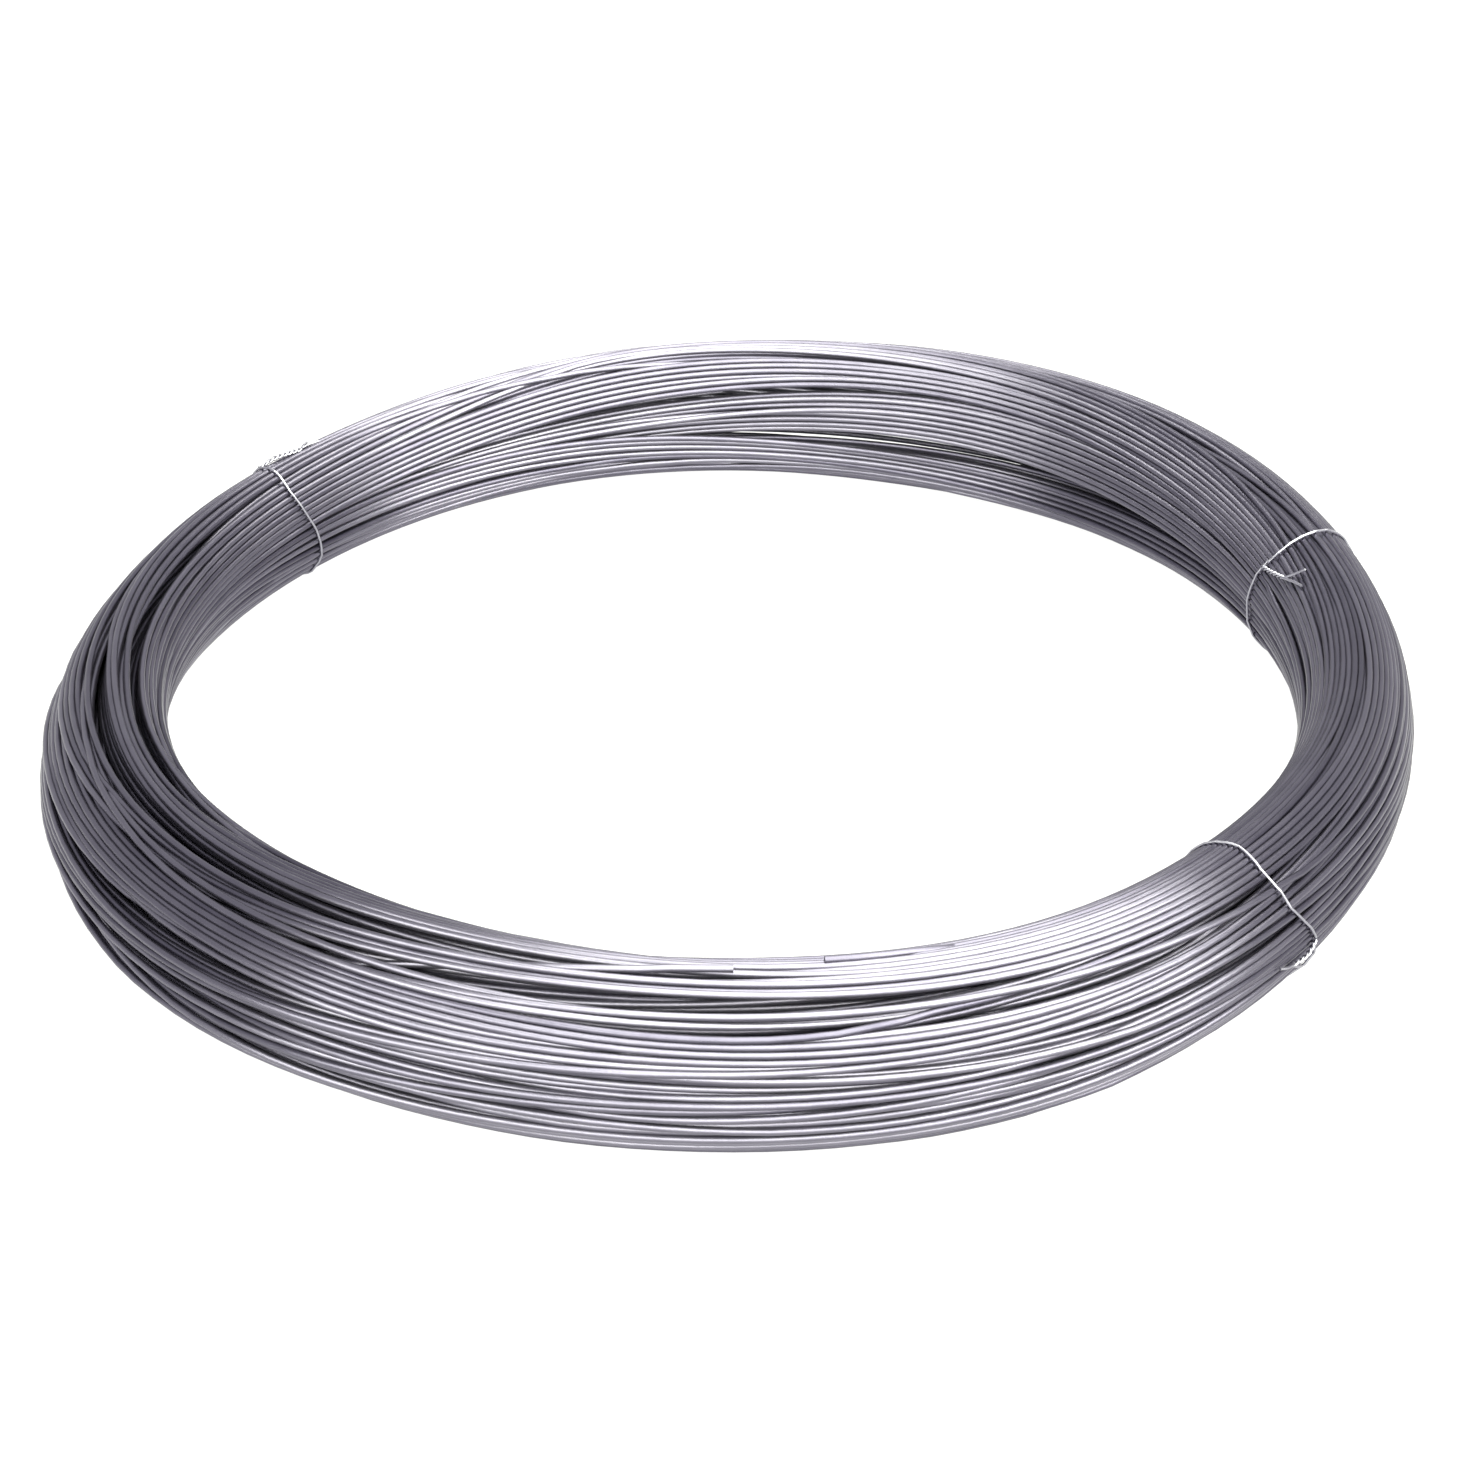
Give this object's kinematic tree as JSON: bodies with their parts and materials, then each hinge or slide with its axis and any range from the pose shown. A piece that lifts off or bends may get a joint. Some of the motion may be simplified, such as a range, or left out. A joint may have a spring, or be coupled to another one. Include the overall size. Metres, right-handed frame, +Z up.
{
  "type": "coil of galvanized wire",
  "caption": "Open coil of round galvanised steel wire, wound in loose turns round a clear bore and held by twisted tie wires.",
  "frame": {"origin": "on the bore's axis, in the plane that the coil rests on", "axes": "+Z up along the bore axis; +Y away from the picture's camera; +X to its right"},
  "size_m": [0.61, 0.61, 0.075],
  "materials": {
    "galvanised_wire": "hot-dip galvanised, drawn wire, satin with bright streaks",
    "galvanised_tie_wire": "bright galvanised, satin"
  },
  "bodies": {
    "root": {"wire_coil": "galvanised_wire", "tie_wire_back": "galvanised_tie_wire", "tie_wire_right": "galvanised_tie_wire", "tie_wire_front": "galvanised_tie_wire"}
  },
  "joints": []
}
